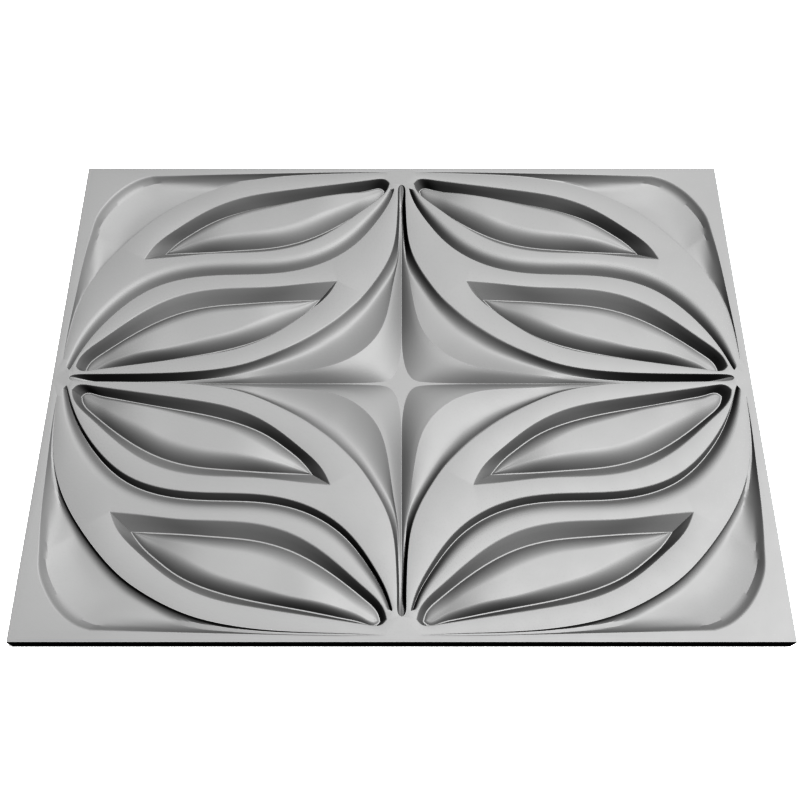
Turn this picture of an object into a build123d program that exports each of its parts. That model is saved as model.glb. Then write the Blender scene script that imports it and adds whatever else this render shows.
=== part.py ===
"""Carved wall panel: one flat board with a four-petal leaf relief cut into its face.

Millimetres, lying on its flat back: X along the long side, Y along the short side, Z out of the face.
The origin is the centre of the back. One quarter is drawn, with depths below the face, and mirrored to
the other three. A hollow is cut through outlines at several depths. What stands up inside a hollow is a
mound, drawn by pairs of points: one on its foot, and the one on its crest that the flank rises to.
"""
import math
import os

from build123d import *

# Board
panel_length = 800.0
panel_height = 600.0
panel_thickness = 20.0
side_border = 9.0
end_border = 8.0

# Leaf pockets, two in each petal, and the pillow that fills each to just below the face
leaf_depth = 15.6
pillow_depth = 1.2

# S-shaped groove that parts the two leaves of a petal: a steep wall, a narrow floor and a wide roll
vein_width = 23.5
vein_depth = 12.6
vein_wall_run = 4.0
vein_floor_width = 1.3

# Sunken corner: a sloping wall at the border, and a cove that ends in a step at the petal
corner_depth = 9.2
corner_wall_run = 7.0
corner_step = 6.0
corner_step_run = 1.6
corner_cove_run = 15.0

# Star between the four petals: a coved gutter under each petal, a ridge, and valleys along both axes
star_depth = 16.0
gutter_depth = 11.0
ridge_depth = 2.0

# How far a mound goes on below the floor that it stands on
buried = 0.9

# A petal fills its quarter of the face inside the border
cell_length = panel_length / 2 - side_border
cell_height = panel_height / 2 - end_border


def at(along, up):
    """Point of a quarter, as shares of the petal's cell from the panel's centre."""
    return Vector(along * cell_length, up * cell_height)


def through_levels(levels):
    """Solid through outlines at several depths, each a closed run of curves."""
    with BuildPart() as solid:
        for depth, curves in levels:
            with BuildSketch(Plane.XY.offset(panel_thickness - depth)):
                with BuildLine():
                    for points in curves:
                        Spline(*points)
                make_face()
        loft(ruled=True)
    return solid.part


def rounded(rise):
    """Share of a flank's run at a share of its rise, on a flank that rounds over to its crest."""
    return math.asin(rise) * 2 / math.pi if rise > 0 else rise


def reached(pair, share):
    """Point at a share of the way from foot to crest, or outside the foot for a share below nought."""
    foot, crest = pair
    return foot + (crest - foot) * share


def mound_outline(ends, sides, end_shares, side_shares):
    """Outline of a mound at one depth: along its first side to its far end, and back along its second."""
    start, finish = [reached(pair, share) for pair, share in zip(ends, end_shares)]
    first, second = [[reached(pair, share) for pair in side] for side, share in zip(sides, side_shares)]
    return [[start, *first, finish], [finish, *second[::-1], start]]


# Rim of the outer leaf: its outer side from the blunt end to the tip, and its inner side back
leaf_blunt_end = at(0.801, 0.553)
leaf_tip = at(0.033, 0.968)
leaf_outer_side = [at(0.713, 0.703), at(0.614, 0.806), at(0.512, 0.869), at(0.307, 0.921)]
leaf_inner_side = [at(0.102, 0.832), at(0.208, 0.710), at(0.307, 0.632), at(0.409, 0.596), at(0.614, 0.580)]
leaf_rim = [[leaf_blunt_end, *leaf_outer_side, leaf_tip], [leaf_tip, *leaf_inner_side, leaf_blunt_end]]

# Pillow of the leaf: its blunt end and its tip, then its outer and inner sides between them
pillow_ends = [(at(0.747, 0.613), at(0.542, 0.726)), (at(0.060, 0.957), at(0.240, 0.866))]
pillow_outer_side = [
    (at(0.640, 0.749), at(0.524, 0.745)),
    (at(0.512, 0.832), at(0.470, 0.780)),
    (at(0.307, 0.894), at(0.335, 0.845)),
    (at(0.150, 0.936), at(0.275, 0.863)),
]
pillow_inner_side = [
    (at(0.614, 0.622), at(0.529, 0.709)),
    (at(0.512, 0.632), at(0.494, 0.699)),
    (at(0.409, 0.646), at(0.409, 0.724)),
    (at(0.307, 0.684), at(0.340, 0.765)),
    (at(0.205, 0.758), at(0.281, 0.808)),
    (at(0.102, 0.880), at(0.253, 0.837)),
]
pillow_rise = leaf_depth - pillow_depth
pillow_level_rises = (-buried / pillow_rise, 0.4, 0.8, 1.0)
pocket_floor_share = -0.05


def pillow_outline(rise):
    """Outline of the pillow at a share of its rise, which is even at its blunt end and rounded elsewhere."""
    run = rounded(rise)
    return mound_outline(pillow_ends, (pillow_outer_side, pillow_inner_side), (rise, run), (run, run))


pocket = through_levels([(0, leaf_rim), (leaf_depth, pillow_outline(pocket_floor_share))])
pillow = through_levels([
    (leaf_depth - rise * pillow_rise, pillow_outline(rise)) for rise in pillow_level_rises
])
with BuildPart() as leaf_cut:
    add(pocket)
    add(pillow, mode=Mode.SUBTRACT)

# Inner edge of the S-shaped groove from the panel's side to its end, and its levels from the face down:
# share of the depth, share of the roll's run, share of the length that the level stops short of each tip
vein_line = Spline(at(0.972, 0.034), at(0.870, 0.286), at(0.767, 0.410), at(0.640, 0.465), at(0.460, 0.481),
                   at(0.307, 0.507), at(0.204, 0.568), at(0.104, 0.700), at(0.028, 0.905))
vein_places = (0, 0.08, 0.2, 0.35, 0.5, 0.65, 0.8, 0.92, 1)
vein_section = ((0, 1, 0.003), (0.1, 0.63, 0.02), (0.385, 0.35, 0.05), (1, 0, 0.085))


def vein_outline(run_in, run_out, tip_share):
    """Groove outline at one depth: its wall side, then its rolled side, at runs from the inner edge."""
    wall_side, rolled_side = [], []
    middle_run = (run_in + run_out) / 2
    for share in vein_places:
        place = tip_share + share * (1 - 2 * tip_share)
        near, far = (middle_run, middle_run) if share in (0, 1) else (run_in, run_out)
        across = vein_line.tangent_at(place).cross(Vector(0, 0, 1)) * (1 - abs(2 * place - 1) ** 3)
        wall_side.append(vein_line.position_at(place) + across * near)
        rolled_side.append(vein_line.position_at(place) + across * far)
    return [wall_side, rolled_side[::-1]]


vein_floor_run = vein_wall_run + vein_floor_width
vein_levels = []
for depth_share, roll_share, tip_share in vein_section:
    roll_run = vein_floor_run + roll_share * (vein_width - vein_floor_run)
    outline = vein_outline(depth_share * vein_wall_run, roll_run, tip_share)
    vein_levels.append((depth_share * vein_depth, outline))
vein_cut = through_levels(vein_levels)

# Sunken corner: the border's side with its two bends, and the petal's outer edge, across from each other
border_tips = [at(1.001, 0.110), at(0.150, 1.003)]
petal_tips = [at(0.997, 0.110), at(0.150, 0.998)]
border_bends = [at(0.978, 0.702), at(0.813, 0.985)]
border_curve = [at(0.947, 0.840), at(0.882, 0.942)]
petal_line = Spline(petal_tips[0], at(0.985, 0.308), at(0.917, 0.543), at(0.768, 0.778), at(0.563, 0.932),
                    at(0.358, 0.986), petal_tips[1])
side_points = [reached((border_tips[0], border_bends[0]), share) for share in (0.35, 0.7, 1)]
end_points = [reached((border_bends[1], border_tips[1]), share) for share in (0, 0.2, 0.45, 0.7)]
corner_pairs = [(border_tips[0], petal_tips[0])]
for point in (*side_points, *border_curve, *end_points):
    corner_pairs.append((point, petal_line.closest_points(Vertex(*point))[0]))
corner_pairs.append((border_tips[1], petal_tips[1]))
first_bend = len(side_points)
second_bend = first_bend + len(border_curve) + 1
narrowest_floor = 0.3


def corner_outline(border_inset, petal_inset, tip_share):
    """Outline of the sunken corner at one depth, stopping short of its tips: by the border, then the petal."""
    pairs = list(corner_pairs)
    for tip, neighbour in ((0, 1), (-1, -2)):
        pairs[tip] = [reached(ends, tip_share) for ends in zip(corner_pairs[tip], corner_pairs[neighbour])]
    border_side, petal_side = [], []
    for border_point, petal_point in pairs:
        across = petal_point - border_point
        room = (1 - narrowest_floor) * across.length
        inset = across.normalized() * min(1, room / (corner_wall_run + corner_cove_run))
        border_side.append(border_point + inset * border_inset)
        petal_side.append(petal_point - inset * petal_inset)
    return [
        border_side[:first_bend + 1],
        border_side[first_bend:second_bend + 1],
        border_side[second_bend:],
        [border_side[-1], petal_side[-1]],
        petal_side[::-1],
        [petal_side[0], border_side[0]],
    ]


cove_depth = corner_step + 0.65 * (corner_depth - corner_step)
cove_run = corner_step_run + 0.4 * (corner_cove_run - corner_step_run)
wall_slope = corner_wall_run / corner_depth
corner_cut = through_levels([
    (0, corner_outline(0, 0, 0)),
    (corner_step, corner_outline(wall_slope * corner_step, corner_step_run, 0.3)),
    (cove_depth, corner_outline(wall_slope * cove_depth, cove_run, 0.45)),
    (corner_depth, corner_outline(corner_wall_run, corner_cove_run, 0.6)),
])

# Star outlines of one quarter, from the long groove's tip to the short groove's tip. The grooves are straight:
# the first two and the last two stretches of an outline are lines, and what lies between them is one curve
star_rim = [
    at(0.974, 0), at(0.955, 0.014), at(0.665, 0.022), at(0.512, 0.045), at(0.409, 0.089), at(0.308, 0.158),
    at(0.204, 0.257), at(0.106, 0.397), at(0.054, 0.514), at(0.022, 0.644), at(0.011, 0.900), at(0, 0.938),
]
star_gutter = [
    at(0.880, 0), at(0.860, 0.002), at(0.650, 0.0075), at(0.512, 0.019), at(0.409, 0.055), at(0.281, 0.122),
    at(0.171, 0.219), at(0.092, 0.353), at(0.035, 0.500), at(0.011, 0.630), at(0.003, 0.720), at(0, 0.740),
]
star_bottom = [
    at(0.640, 0), at(0.620, 0.0012), at(0.580, 0.004), at(0.490, 0.012), at(0.397, 0.046), at(0.273, 0.112),
    at(0.164, 0.208), at(0.086, 0.338), at(0.030, 0.478), at(0.008, 0.570), at(0.002, 0.610), at(0, 0.630),
]
cove_share = 0.27
star_cove = [reached(pair, cove_share) for pair in zip(star_rim, star_gutter)]


def star_outline(points):
    """Four-pointed outline made of one quarter's stretches and their mirror images."""
    stretches = [points[:2], points[1:3], points[2:-2], points[-3:-1], points[-2:]]
    curves = []
    for sign_x, sign_y in ((1, 1), (-1, 1), (-1, -1), (1, -1)):
        mirrored = [[Vector(sign_x * point.X, sign_y * point.Y) for point in run] for run in stretches]
        curves.extend(mirrored if sign_x == sign_y else [run[::-1] for run in mirrored[::-1]])
    return curves


basin = through_levels([
    (0, star_outline(star_rim)),
    (gutter_depth / 2, star_outline(star_cove)),
    (gutter_depth, star_outline(star_gutter)),
    (star_depth, star_outline(star_bottom)),
])

# Stations across a ridge of the star, from arm to arm: foot in the valley, foot in the gutter, share of the
# way between them where the crest is, and depths of the crest and of the gutter there
ridge_sunk = star_depth + buried / 3
ridge_stations = [
    (at(0.560, 0.006), at(0.562, 0.014), 0.5, star_depth, ridge_sunk),
    (at(0.384, 0.003), at(0.409, 0.057), 0.47, ridge_depth + 7.3, gutter_depth),
    (at(0.230, 0.003), at(0.281, 0.122), 0.36, ridge_depth + 2.3, gutter_depth),
    (at(0.100, 0.005), at(0.230, 0.163), 0.46, ridge_depth + 0.3, gutter_depth),
    (at(0.026, 0.031), at(0.171, 0.219), 0.55, ridge_depth, gutter_depth),
    (at(0.005, 0.120), at(0.120, 0.300), 0.50, ridge_depth + 0.3, gutter_depth),
    (at(0.003, 0.270), at(0.085, 0.372), 0.42, ridge_depth + 1.9, gutter_depth),
    (at(0.003, 0.445), at(0.031, 0.503), 0.60, ridge_depth + 6.6, gutter_depth),
    (at(0.006, 0.600), at(0.014, 0.602), 0.5, star_depth, ridge_sunk),
]
hollow_share = 0.38
overhang = 0.12


def ridge_section(valley, gutter, crest_share, crest_depth, foot_depth):
    """Section of a ridge between its two feet: even to the valley, hollowed to the gutter."""
    across = gutter - valley
    width = across.length
    crest = crest_share * width
    flank = width - crest
    middle_depth = (crest_depth + foot_depth) / 2
    foot_drop = overhang * (foot_depth - middle_depth) / (1 - hollow_share)
    floor_depth = star_depth + buried / 2
    outline = [
        (-crest * buried / 2 / star_depth, floor_depth),
        (crest, crest_depth),
        (crest + hollow_share * flank, middle_depth),
        (width + overhang * flank, foot_depth + foot_drop),
        (width + overhang * flank, floor_depth + buried),
    ]
    upright = Plane(valley, x_dir=across, z_dir=across.cross(Vector(0, 0, 1)))
    return upright, [(run, panel_thickness - depth) for run, depth in outline]


with BuildPart() as ridges:
    for station in ridge_stations:
        upright, outline = ridge_section(*station)
        with BuildSketch(upright):
            with BuildLine():
                Polyline(*outline, close=True)
            make_face()
    loft(ruled=True)
    mirror(about=Plane.YZ)
    mirror(about=Plane.XZ)

with BuildPart() as star_cut:
    add(basin)
    add(ridges.part, mode=Mode.SUBTRACT)

# One quarter of the board with its petal and corner, then the whole panel with the star
with BuildPart() as quarter:
    Box(panel_length / 2, panel_height / 2, panel_thickness, align=Align.MIN)
    petal_middle = Axis(at(0.5, 0.5), (0, 0, 1))
    add(leaf_cut.part, mode=Mode.SUBTRACT)
    add(leaf_cut.part.rotate(petal_middle, 180), mode=Mode.SUBTRACT)
    add(vein_cut, mode=Mode.SUBTRACT)
    add(corner_cut, mode=Mode.SUBTRACT)
with BuildPart() as wall_panel:
    add(quarter.part)
    mirror(about=Plane.YZ)
    mirror(about=Plane.XZ)
    add(star_cut.part, mode=Mode.SUBTRACT)
wall_panel.part.label = "wall_panel"
os.makedirs("parts", exist_ok=True)
export_step(wall_panel.part, "parts/wall_panel.step")
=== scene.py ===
"""Looks of the carved wall panel: its relief as one fine mesh, grey satin paint, floor, light and camera.

The relief is drawn for one quarter in millimetres, with depths below the face, and mirrored to the others.
"""
import math

import bmesh
import bpy
import numpy as np
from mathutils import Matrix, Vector
from mathutils.geometry import delaunay_2d_cdt


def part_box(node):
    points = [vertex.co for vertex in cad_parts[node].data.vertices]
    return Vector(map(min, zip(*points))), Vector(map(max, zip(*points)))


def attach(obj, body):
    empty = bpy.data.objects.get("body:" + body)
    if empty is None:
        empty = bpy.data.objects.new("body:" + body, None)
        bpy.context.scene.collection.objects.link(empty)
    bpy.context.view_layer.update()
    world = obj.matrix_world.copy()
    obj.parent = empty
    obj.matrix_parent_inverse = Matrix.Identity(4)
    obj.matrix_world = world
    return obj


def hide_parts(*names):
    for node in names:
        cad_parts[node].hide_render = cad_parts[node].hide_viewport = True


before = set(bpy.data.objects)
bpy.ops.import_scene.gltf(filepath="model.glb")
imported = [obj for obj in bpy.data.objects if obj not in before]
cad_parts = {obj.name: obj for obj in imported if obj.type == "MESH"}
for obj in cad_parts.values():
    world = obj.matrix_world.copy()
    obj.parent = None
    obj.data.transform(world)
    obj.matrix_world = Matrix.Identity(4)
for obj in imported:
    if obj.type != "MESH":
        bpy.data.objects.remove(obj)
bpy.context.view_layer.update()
MM = 0.001

# Board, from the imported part
low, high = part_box("wall_panel")
PANEL_LENGTH, PANEL_HEIGHT, PANEL_THICKNESS = [(b - a) / MM for a, b in zip(low, high)]
SIDE_BORDER = 9.0
END_BORDER = 8.0
CELL_LENGTH = PANEL_LENGTH / 2 - SIDE_BORDER
CELL_HEIGHT = PANEL_HEIGHT / 2 - END_BORDER
OUTER_ROUND = 0.3
RIM_ROUND = 1.6
PETAL_RIM_ROUND = 0.5
CREASE_DEGREES = 21
FLOOR_GAP = 0.4

# Leaf pockets
LEAF_DEPTH = 15.6
LEAF_FLOOR_WIDTH = 1.6

# S-shaped groove: shares of its width and depth, from the steep wall to the end of the roll
VEIN_WIDTH = 23.5
VEIN_DEPTH = 12.6
VEIN_CLOSES = 0.975
VEIN_PROFILE = (
    (0.0, 0.0), (0.17, 1.0), (0.23, 1.0), (0.30, 0.84), (0.38, 0.65), (0.46, 0.46), (0.54, 0.30),
    (0.63, 0.17), (0.73, 0.08), (0.86, 0.02), (1.0, 0.0),
)

# Sunken corner: a bowl under the border's curve, a slope along its straight sides, a cove under the petal
CORNER_DEPTH = 13.4
CORNER_WALL_DEPTH = 7.0
CORNER_WALL_RUN = 7.0
BOWL_RUN = 40.0
SIDE_SLOPE_RUN = 26.0
END_SLOPE_RUN = 20.0
COVE_RUN = 12.0


def at(along, up, depth=0.0):
    """Point of a quarter: shares of the petal's cell from the panel's centre, and a depth."""
    return along * CELL_LENGTH, up * CELL_HEIGHT, depth


# Outer leaf, each side from the blunt end to the tip
LEAF_BLUNT = at(0.801, 0.553)
LEAF_TIP = at(0.040, 0.947)
LEAF_OUTER = [at(0.784, 0.601), at(0.713, 0.703), at(0.614, 0.806), at(0.512, 0.869), at(0.409, 0.900),
              at(0.205, 0.942), at(0.090, 0.966), at(0.049, 0.962)]
LEAF_INNER = [at(0.716, 0.564), at(0.614, 0.580), at(0.512, 0.586), at(0.409, 0.596), at(0.307, 0.632),
              at(0.208, 0.710), at(0.102, 0.832), at(0.043, 0.929)]

# Pillow of the leaf, as pairs of a point on its foot and the point on its crest that the flank rises to
PILLOW_BLUNT = (at(0.747, 0.613), at(0.728, 0.622, 13.8))
PILLOW_TIP = (at(0.058, 0.944), at(0.070, 0.940, 13.8))
PILLOW_OUTER = [
    (at(0.716, 0.664), at(0.688, 0.650, 10.3)), (at(0.668, 0.720), at(0.645, 0.676, 6.0)),
    (at(0.614, 0.772), at(0.586, 0.718, 2.2)), (at(0.512, 0.832), at(0.494, 0.781, 1.2)),
    (at(0.409, 0.868), at(0.399, 0.820, 1.2)), (at(0.307, 0.894), at(0.299, 0.860, 1.2)),
    (at(0.205, 0.920), at(0.205, 0.886, 1.4)), (at(0.153, 0.934), at(0.155, 0.903, 5.0)),
    (at(0.102, 0.950), at(0.109, 0.923, 9.8)), (at(0.068, 0.956), at(0.077, 0.943, 13.2)),
]
PILLOW_INNER = [
    (at(0.690, 0.617), at(0.684, 0.646, 9.8)), (at(0.614, 0.622), at(0.616, 0.667, 3.6)),
    (at(0.512, 0.632), at(0.516, 0.693, 1.2)), (at(0.409, 0.646), at(0.418, 0.712, 1.2)),
    (at(0.307, 0.684), at(0.327, 0.752, 1.2)), (at(0.205, 0.758), at(0.235, 0.813, 1.2)),
    (at(0.153, 0.808), at(0.164, 0.863, 4.6)), (at(0.0985, 0.8665), at(0.116, 0.906, 9.3)),
    (at(0.0625, 0.921), at(0.075, 0.935, 13.0)),
]

# Inner edge of the S-shaped groove, from the panel's side to its end
VEIN_EDGE = [at(0.978, 0.034), at(0.952, 0.122), at(0.872, 0.288), at(0.767, 0.410), at(0.665, 0.460),
             at(0.512, 0.479), at(0.358, 0.492), at(0.256, 0.531), at(0.153, 0.622), at(0.077, 0.755),
             at(0.0345, 0.870), at(0.0245, 0.918)]

# Sunken corner: the border's three stretches and the petal's outer edge, which share their two tips
CORNER_TIPS = [at(1.000, 0.075), at(0.040, 1.003)]
BORDER_BENDS = [at(0.978, 0.702), at(0.813, 0.985)]
BORDER_SIDE = [at(1.000, 0.205), at(0.996, 0.342), at(0.985, 0.616)]
BORDER_CURVE = [at(0.970, 0.771), at(0.947, 0.840), at(0.921, 0.891), at(0.882, 0.942), at(0.844, 0.972)]
BORDER_END = [at(0.665, 0.990), at(0.384, 0.999), at(0.256, 1.003), at(0.128, 1.005)]
PETAL_BENDS = [at(0.880, 0.610), at(0.747, 0.799)]
PETAL_SIDE = [at(0.994, 0.205), at(0.985, 0.308), at(0.942, 0.480)]
PETAL_CURVE = [at(0.836, 0.682)]
PETAL_END = [at(0.665, 0.870), at(0.563, 0.932), at(0.460, 0.967), at(0.358, 0.985), at(0.256, 0.993),
             at(0.128, 0.998)]

# Star between the petals: matching points of its rim, gutter, ridge and valley, from arm to arm
STAR_RIM = [
    at(0.974, 0.000), at(0.960, 0.0125), at(0.915, 0.015), at(0.844, 0.016), at(0.665, 0.022),
    at(0.512, 0.045), at(0.409, 0.089), at(0.308, 0.158), at(0.243, 0.216), at(0.192, 0.271),
    at(0.146, 0.332), at(0.106, 0.397), at(0.054, 0.514), at(0.022, 0.644), at(0.013, 0.788),
    at(0.0115, 0.870), at(0.0105, 0.921), at(0.000, 0.938),
]
STAR_GUTTER = [
    at(0.974, 0.000), at(0.960, 0.008, 4), at(0.915, 0.009, 14), at(0.844, 0.009, 15.4),
    at(0.665, 0.011, 15), at(0.512, 0.026, 11), at(0.409, 0.057, 10.8), at(0.281, 0.122, 11.2),
    at(0.210, 0.180, 11),
    at(0.171, 0.219, 11), at(0.130, 0.281, 11), at(0.092, 0.353, 11.2), at(0.031, 0.503, 12),
    at(0.012, 0.634, 14.5), at(0.0075, 0.788, 15.4), at(0.0072, 0.870, 14), at(0.007, 0.921, 4),
    at(0.000, 0.938),
]
STAR_RIDGE = [
    at(0.974, 0.000), at(0.960, 0.0045, 4.2), at(0.915, 0.005, 14.2), at(0.844, 0.005, 15.7),
    at(0.665, 0.006, 15.5), at(0.512, 0.012, 12.5), at(0.396, 0.028, 9.3), at(0.256, 0.046, 4.5),
    at(0.166, 0.082, 2.3),
    at(0.115, 0.128, 2), at(0.077, 0.187, 2), at(0.045, 0.295, 3.5), at(0.024, 0.473, 8.5),
    at(0.008, 0.616, 13.6), at(0.004, 0.788, 15.7), at(0.004, 0.870, 14.2), at(0.004, 0.921, 4.2),
    at(0.000, 0.938),
]
STAR_FLOOR = [
    at(0.974, 0.000), at(0.960, 0.001, 4.4), at(0.915, 0.001, 14.4), at(0.844, 0.001, 16),
    at(0.665, 0.001, 16), at(0.512, 0.0012, 16), at(0.384, 0.0012, 16), at(0.200, 0.0016, 16),
    at(0.080, 0.006, 16),
    at(0.026, 0.031, 16), at(0.004, 0.130, 16), at(0.0007, 0.270, 16), at(0.0006, 0.445, 16),
    at(0.001, 0.610, 16),
    at(0.001, 0.788, 16), at(0.001, 0.870, 14.4), at(0.001, 0.921, 4.4), at(0.000, 0.938),
]

# Where the star's arms pass into its coved middle, counted in the points above
FIRST_ARM_ENDS = 6
SECOND_ARM_STARTS = 11.6
ARM_BLEND = 1.6


def chords(points):
    """Lengths of the straight lines from point to point."""
    return np.linalg.norm(np.diff(np.asarray(points, float), axis=0), axis=1)


def curve(points, count, steps=None):
    """Points of a natural cubic curve, spaced by its length or, to match another, by given steps."""
    p = np.asarray(points, float)
    steps = chords(p) if steps is None else steps
    place = np.concatenate(([0], np.cumsum(steps)))
    system = np.eye(len(p))
    right = np.zeros_like(p)
    for i in range(1, len(p) - 1):
        system[i, i - 1:i + 2] = steps[i - 1], 2 * (steps[i - 1] + steps[i]), steps[i]
        right[i] = 6 * ((p[i + 1] - p[i]) / steps[i] - (p[i] - p[i - 1]) / steps[i - 1])
    bend = np.linalg.solve(system, right)
    wanted = np.linspace(0, place[-1], count)
    k = np.clip(np.searchsorted(place, wanted, side="right") - 1, 0, len(p) - 2)
    before = (wanted - place[k])[:, None]
    after = (place[k + 1] - wanted)[:, None]
    step = steps[k][:, None]
    cubic = (bend[k] * after ** 3 + bend[k + 1] * before ** 3) / (6 * step)
    from_start = (p[k] / step - bend[k] * step / 6) * after
    from_end = (p[k + 1] / step - bend[k + 1] * step / 6) * before
    return cubic + from_start + from_end


def unit(vectors):
    """Vectors of length one, or zero where there is no length."""
    length = np.linalg.norm(vectors, axis=1, keepdims=True)
    return vectors / np.maximum(length, 1e-9)


def eased(rows, reach=RIM_ROUND):
    """Rows whose first edge is rounded over, from the flat face into the slope."""
    rim, slope = rows[0], rows[1] - rows[0]
    level = slope * (1, 1, 0)
    short = np.minimum(reach, np.linalg.norm(slope, axis=1) / 2)[:, None]
    outside = rim - unit(level) * short
    inside = rim + unit(slope) * short
    rounded = [outside]
    for t in (0.3, 0.65):
        rounded.append(outside * (1 - t) ** 2 + rim * 2 * t * (1 - t) + inside * t ** 2)
    return [*rounded, inside, *rows[1:]]


class Quarter:
    """Vertices and faces of one quarter of the carved face."""

    def __init__(self):
        self.points = []
        self.slopes = []
        self.flats = []
        self.holes = []

    def strip(self, rows):
        """Adds faces between rows of points."""
        rows = np.asarray(rows)
        start = sum(len(p) for p in self.points)
        count = rows.shape[1]
        self.points.append(rows.reshape(-1, 3))
        for r in range(len(rows) - 1):
            first = start + r * count
            for i in range(count - 1):
                self.slopes.append((first + i, first + i + 1, first + count + i + 1, first + count + i))

    def flat(self, corners):
        """Fills what is left of the face between the carved outlines."""
        plan, edges = [], []
        for loop in [corners, *self.holes]:
            first = len(plan)
            plan.extend(loop[:, :2])
            edges.extend((first + i, first + (i + 1) % len(loop)) for i in range(len(loop)))
        found = delaunay_2d_cdt([Vector(p) for p in plan], edges, [], 0, 1e-4)
        vertices = np.array([(v.x, v.y, 0.0) for v in found[0]])
        start = sum(len(p) for p in self.points)
        self.points.append(vertices)
        for triangle in found[2]:
            middle = vertices[list(triangle)].mean(axis=0)
            if not any(inside(middle, hole) for hole in self.holes):
                self.flats.append(tuple(start + i for i in triangle))


def inside(point, loop):
    """Whether a point lies in a closed outline."""
    x, y = loop[:, 0], loop[:, 1]
    following_x, following_y = np.roll(x, -1), np.roll(y, -1)
    crosses = (y > point[1]) != (following_y > point[1])
    run = np.where(crosses, following_y - y, 1.0)
    reach = x + (point[1] - y) / run * (following_x - x)
    return np.count_nonzero(crosses & (point[0] < reach)) % 2 == 1


def leaf_rows(rim, foot, crest):
    """Rows of one side of a leaf: down the wall to its floor, then up the pillow's flank to its crest."""
    half_floor = unit((crest - foot) * (1, 1, 0)) * LEAF_FLOOR_WIDTH / 2
    wall_foot, pillow_foot = foot - half_floor, foot + half_floor
    rows = [rim, (rim + wall_foot) / 2, wall_foot, pillow_foot]
    for t in np.linspace(0, 1, 15)[1:]:
        row = pillow_foot + (crest - pillow_foot) * t
        row[:, 2] = LEAF_DEPTH + (crest[:, 2] - LEAF_DEPTH) * (1 - (1 - t) ** 2)
        rows.append(row)
    return eased(rows)


def turned(rows):
    """Rows turned half round the middle of the petal."""
    return [row * (-1, -1, 1) + (CELL_LENGTH, CELL_HEIGHT, 0) for row in rows]


def add_leaves(quarter, count=110):
    """The two leaf pockets of a petal, each with a pillow."""
    sides = []
    for rim, pillow in ((LEAF_OUTER, PILLOW_OUTER), (LEAF_INNER, PILLOW_INNER)):
        feet, crests = zip(PILLOW_BLUNT, *pillow, PILLOW_TIP)
        steps = chords(feet)
        foot = curve(feet, count, steps) + (0, 0, LEAF_DEPTH)
        crest = curve(crests, count, steps)
        sides.append(leaf_rows(curve([LEAF_BLUNT, *rim, LEAF_TIP], count), foot, crest))
    for outer, inner in (sides, [turned(side) for side in sides]):
        quarter.strip(outer)
        quarter.strip([row[::-1] for row in inner])
        quarter.strip([outer[-1], inner[-1]])
        quarter.holes.append(np.vstack([outer[0], inner[0][-2:0:-1]]))


def add_vein(quarter, count=170):
    """The S-shaped groove that parts the two leaves."""
    edge = curve(VEIN_EDGE, count)
    along = unit(np.gradient(edge, axis=0))
    across = np.stack([along[:, 1], -along[:, 0], np.zeros(count)], axis=1)
    from_middle = np.abs(np.linspace(-1, 1, count))[:, None]
    closing = np.sqrt(1 - np.clip((from_middle - VEIN_CLOSES) / (1 - VEIN_CLOSES), 0, 1) ** 2)
    width = VEIN_WIDTH * (1 - from_middle ** 4 + 0.25 * from_middle ** 12) * closing
    depth = VEIN_DEPTH * (1 - 0.4 * from_middle ** 7) * closing
    rows = [edge + across * width * run + np.array((0, 0, 1)) * depth * fall for run, fall in VEIN_PROFILE]
    rows = eased(rows)
    quarter.strip(rows)
    quarter.holes.append(np.vstack([rows[0], rows[-1][-2:0:-1]]))


def corner_fall(from_border, from_petal, slope_run, on_curve):
    """Depth of the sunken corner, from the distances to its two edges."""
    wall = from_border * CORNER_WALL_DEPTH / CORNER_WALL_RUN
    beyond = np.clip((from_border - CORNER_WALL_RUN) / BOWL_RUN, 0, 1)
    bowl = CORNER_WALL_DEPTH + (CORNER_DEPTH - CORNER_WALL_DEPTH) * (1 - (1 - beyond) ** 1.5)
    slope = CORNER_DEPTH * (1 - (1 - np.clip(from_border / slope_run, 0, 1)) ** 2.1)
    border_side = on_curve * np.minimum(wall, bowl) + (1 - on_curve) * slope
    share = np.clip(from_petal / COVE_RUN, 0, 1)
    petal_side = CORNER_DEPTH * np.sqrt(1 - (1 - share) ** 2)
    both = np.exp(-2 * border_side) + np.exp(-2 * petal_side) - np.exp(-2 * (border_side + petal_side))
    width = from_border + from_petal
    return np.minimum(-np.log(both) / 2, width * (0.25 + 0.25 * np.clip((width - 3) / 8, 0, 1)))


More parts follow.
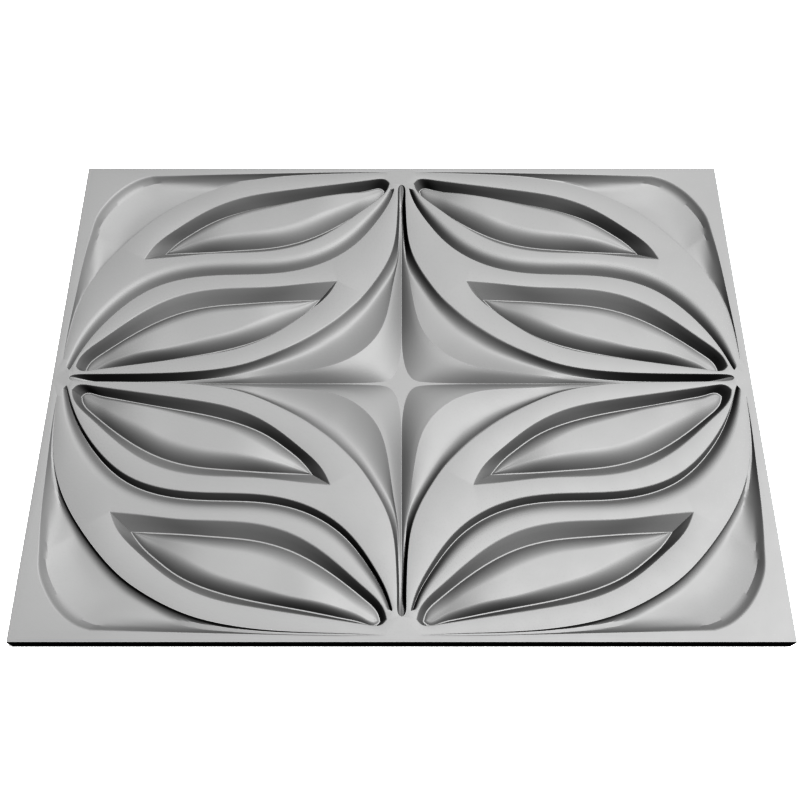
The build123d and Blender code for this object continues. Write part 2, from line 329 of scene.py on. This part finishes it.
def add_corner(quarter, count=60):
    """The sunken corner between the petal and the border."""
    first_bend, second_bend = BORDER_BENDS
    border = np.vstack([
        curve([CORNER_TIPS[0], *BORDER_SIDE, first_bend], count),
        curve([first_bend, *BORDER_CURVE, second_bend], count)[1:],
        curve([second_bend, *BORDER_END, CORNER_TIPS[1]], count)[1:],
    ])
    whole = curve([CORNER_TIPS[0], *PETAL_SIDE, PETAL_BENDS[0], *PETAL_CURVE, PETAL_BENDS[1], *PETAL_END,
                   CORNER_TIPS[1]], 4000)
    cuts = [0, *(np.argmin(np.linalg.norm(whole - bend, axis=1)) for bend in PETAL_BENDS), len(whole) - 1]
    places = np.concatenate([np.linspace(a, b, count)[1:] for a, b in zip(cuts, cuts[1:])])
    petal = whole[np.round(np.concatenate(([0], places))).astype(int)]
    station = np.arange(len(border))[:, None]
    on_curve = np.clip(3 - 4 * np.abs(station / (count - 1) - 1.5), 0, 1)
    slope_run = np.where(station < 1.5 * count, SIDE_SLOPE_RUN, END_SLOPE_RUN)
    across = petal - border
    width = np.linalg.norm(across, axis=1, keepdims=True)
    cove = np.minimum(COVE_RUN, 0.6 * width)
    runs = [(width - cove) * t ** 1.2 for t in np.linspace(0, 1, 15)]
    runs += [width - cove * (1 - math.sin(t)) for t in np.linspace(0, math.pi / 2, 11)[1:]]
    rows = []
    for run in runs:
        row = border + unit(across) * run
        row[:, 2:] = corner_fall(run, width - run, slope_run, on_curve)
        rows.append(row)
    rows = eased(eased(rows)[::-1], PETAL_RIM_ROUND)[::-1]
    quarter.strip(rows)
    quarter.holes.append(np.vstack([rows[0], rows[-1][-2:0:-1]]))


def add_star(quarter, count=211):
    """The quarter of the star: a coved gutter under the petal, a ridge, and a valley along each axis."""
    lines = (STAR_RIM, STAR_GUTTER, STAR_RIDGE, STAR_FLOOR)
    rim, gutter, ridge, floor = (curve(points, count, np.ones(len(points) - 1)) for points in lines)
    beyond = np.maximum(floor[:, 0] - floor[:, 1], 0), np.maximum(floor[:, 1] - floor[:, 0], 0), floor[:, 2]
    axis = np.stack(beyond, axis=1)
    axis[np.argmin(np.abs(floor[:, 0] - floor[:, 1])[20:-20]) + 20, :2] = 0
    station = np.linspace(0, len(STAR_RIM) - 1, count)[:, None]
    into_arm = np.maximum(FIRST_ARM_ENDS - station, station - SECOND_ARM_STARTS)
    in_arm = np.clip(into_arm / ARM_BLEND, 0, 1)
    rows = []
    for start, end, parts, bend in (
        (rim, gutter, 8, None), (gutter, ridge, 8, 1.45), (ridge, floor, 6, 1.3), (floor, axis, 1, 1),
    ):
        for t in np.linspace(0, 1, parts + 1)[(1 if rows else 0):]:
            row = start + (end - start) * t
            share = 1 - (1 - t) ** (2.2 - 1.2 * in_arm[:, 0]) if bend is None else t ** bend
            row[:, 2] = start[:, 2] + (end[:, 2] - start[:, 2]) * share
            rows.append(row)
    rows = eased(rows)
    for row in rows:
        row[0, 1] = 0
        row[-1, 0] = 0
        row[:, :2] = np.maximum(row[:, :2], 0)
    quarter.strip(rows)
    quarter.holes.append(np.vstack([rows[0], [(0, 0, 0)]]))


def panel_mesh():
    """The whole panel: four mirrored quarters of the face, rounded outer edges, sides and a flat back."""
    quarter = Quarter()
    add_leaves(quarter)
    add_vein(quarter)
    add_corner(quarter)
    add_star(quarter)
    half_length = PANEL_LENGTH / 2
    half_height = PANEL_HEIGHT / 2
    reach_x = half_length - OUTER_ROUND
    reach_y = half_height - OUTER_ROUND
    quarter.flat(np.array([(0, 0, 0), (reach_x, 0, 0), (reach_x, reach_y, 0), (0, reach_y, 0)], float))
    points = np.vstack(quarter.points)
    points[:, 2] = PANEL_THICKNESS - points[:, 2]
    build = bmesh.new()
    for sign_x, sign_y in ((1, 1), (-1, 1), (-1, -1), (1, -1)):
        made = [build.verts.new(Vector(p * (sign_x, sign_y, 1)) * MM) for p in points]
        for faces, smooth in ((quarter.slopes, True), (quarter.flats, False)):
            for face in faces:
                order = face if sign_x == sign_y else face[::-1]
                build.faces.new([made[i] for i in order]).smooth = smooth
    rings = []
    part = 0.3 * OUTER_ROUND
    for inset, height in (
        (OUTER_ROUND, PANEL_THICKNESS), (part, PANEL_THICKNESS - part), (0, PANEL_THICKNESS - OUTER_ROUND),
        (0, OUTER_ROUND), (part, part), (OUTER_ROUND, 0),
    ):
        x, y = half_length - inset, half_height - inset
        plan = ((x, 0), (x, y), (0, y), (-x, y), (-x, 0), (-x, -y), (0, -y), (x, -y))
        rings.append([build.verts.new(Vector((a, b, height)) * MM) for a, b in plan])
    for upper, lower in zip(rings, rings[1:]):
        for i in range(len(upper)):
            following = (i + 1) % len(upper)
            build.faces.new((upper[i], lower[i], lower[following], upper[following]))
    build.faces.new(rings[-1][::-1])
    bmesh.ops.remove_doubles(build, verts=build.verts, dist=0.004 * MM)
    bmesh.ops.dissolve_degenerate(build, edges=build.edges, dist=0.002 * MM)
    bmesh.ops.recalc_face_normals(build, faces=build.faces)
    mesh = bpy.data.meshes.new("carved_panel")
    build.to_mesh(mesh)
    build.free()
    mesh.set_sharp_from_angle(angle=math.radians(CREASE_DEGREES))
    return mesh


def satin_paint():
    """Light grey satin primer over fibreboard: faint mottling, uneven gloss and a fine sprayed grain."""
    material = bpy.data.materials.new("satin_grey_paint")
    material.use_nodes = True
    nodes, links = material.node_tree.nodes, material.node_tree.links
    shader = nodes["Principled BSDF"]
    place = nodes.new("ShaderNodeTexCoord")

    def noise(scale, detail):
        node = nodes.new("ShaderNodeTexNoise")
        node.inputs["Scale"].default_value = scale
        node.inputs["Detail"].default_value = detail
        links.new(place.outputs["Object"], node.inputs["Vector"])
        return node.outputs["Fac"]

    def ramp(source, low_end, high_end):
        node = nodes.new("ShaderNodeMapRange")
        node.inputs["From Min"].default_value = 0.25
        node.inputs["From Max"].default_value = 0.75
        node.inputs["To Min"].default_value = low_end
        node.inputs["To Max"].default_value = high_end
        links.new(source, node.inputs["Value"])
        return node.outputs["Result"]

    colour = nodes.new("ShaderNodeCombineColor")
    shade = ramp(noise(14, 4), 0.392, 0.400)
    for channel in ("Red", "Green", "Blue"):
        links.new(shade, colour.inputs[channel])
    links.new(colour.outputs["Color"], shader.inputs["Base Color"])
    links.new(ramp(noise(45, 3), 0.655, 0.675), shader.inputs["Roughness"])
    shader.inputs["IOR"].default_value = 1.6
    shader.inputs["Specular IOR Level"].default_value = 0.9
    bump = nodes.new("ShaderNodeBump")
    bump.inputs["Strength"].default_value = 0.08
    bump.inputs["Distance"].default_value = 0.0004
    links.new(noise(1400, 2), bump.inputs["Height"])
    links.new(bump.outputs["Normal"], shader.inputs["Normal"])
    return material


def floor_paint():
    """Plain pale studio floor."""
    material = bpy.data.materials.new("pale_floor")
    material.use_nodes = True
    nodes, links = material.node_tree.nodes, material.node_tree.links
    shader = nodes["Principled BSDF"]
    grain = nodes.new("ShaderNodeTexNoise")
    grain.inputs["Scale"].default_value = 30
    tone = nodes.new("ShaderNodeMapRange")
    tone.inputs["To Min"].default_value = 0.90
    tone.inputs["To Max"].default_value = 0.92
    links.new(grain.outputs["Fac"], tone.inputs["Value"])
    colour = nodes.new("ShaderNodeCombineColor")
    for channel in ("Red", "Green", "Blue"):
        links.new(tone.outputs["Result"], colour.inputs[channel])
    links.new(colour.outputs["Color"], shader.inputs["Base Color"])
    shader.inputs["Roughness"].default_value = 0.9
    shader.inputs["Emission Color"].default_value = (1, 1, 1, 1)
    shader.inputs["Emission Strength"].default_value = 0.8
    return material


def add_panel():
    """The carved panel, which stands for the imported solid."""
    panel = bpy.data.objects.new("carved_panel", panel_mesh())
    bpy.context.collection.objects.link(panel)
    panel.data.materials.append(satin_paint())
    panel.visible_diffuse = False
    panel.visible_glossy = False
    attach(panel, "root")
    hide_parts("wall_panel")


def add_floor(size=6.0):
    """A pale floor under the panel."""
    mesh = bpy.data.meshes.new("floor")
    half = size / 2
    corners = [(-half, -half), (half, -half), (half, half), (-half, half)]
    mesh.from_pydata([(x, y, -FLOOR_GAP * MM) for x, y in corners], [], [(0, 1, 2, 3)])
    floor = bpy.data.objects.new("floor", mesh)
    bpy.context.collection.objects.link(floor)
    mesh.materials.append(floor_paint())
    floor.visible_diffuse = False
    floor.visible_glossy = False


def add_light(name, place, size, watts, target=(0, 0, 0)):
    """A square studio light turned to the panel."""
    data = bpy.data.lights.new(name, "AREA")
    data.size = size
    data.energy = watts
    light = bpy.data.objects.new(name, data)
    light.location = place
    light.rotation_euler = (Vector(target) - Vector(place)).to_track_quat("-Z", "Y").to_euler()
    bpy.context.collection.objects.link(light)


def add_camera(below_level=64.444):
    """The photograph's camera: looking down on the panel from beyond its near long side."""
    data = bpy.data.cameras.new("camera")
    data.sensor_width = 36.0
    data.angle = math.radians(45)
    data.shift_x = -0.002
    camera = bpy.data.objects.new("camera", data)
    camera.location = (0, -0.50011, 1.00635)
    camera.rotation_euler = (math.radians(90 - below_level), 0, 0)
    bpy.context.collection.objects.link(camera)
    bpy.context.scene.camera = camera


add_panel()
add_floor()
add_light("key", (3.14, 0.452, 11.60), 2.0, 2430)
add_light("fill", (-2.4, 3.6, 0.22), 0.4, 20)
add_camera()
world = bpy.data.worlds.new("studio")
bpy.context.scene.world = world
world.use_nodes = True
world.node_tree.nodes["Background"].inputs["Color"].default_value = (1, 1, 1, 1)
world.node_tree.nodes["Background"].inputs["Strength"].default_value = 1.0
world.cycles_visibility.diffuse = False
world.cycles_visibility.glossy = False
bpy.context.scene.view_settings.view_transform = "Raw"
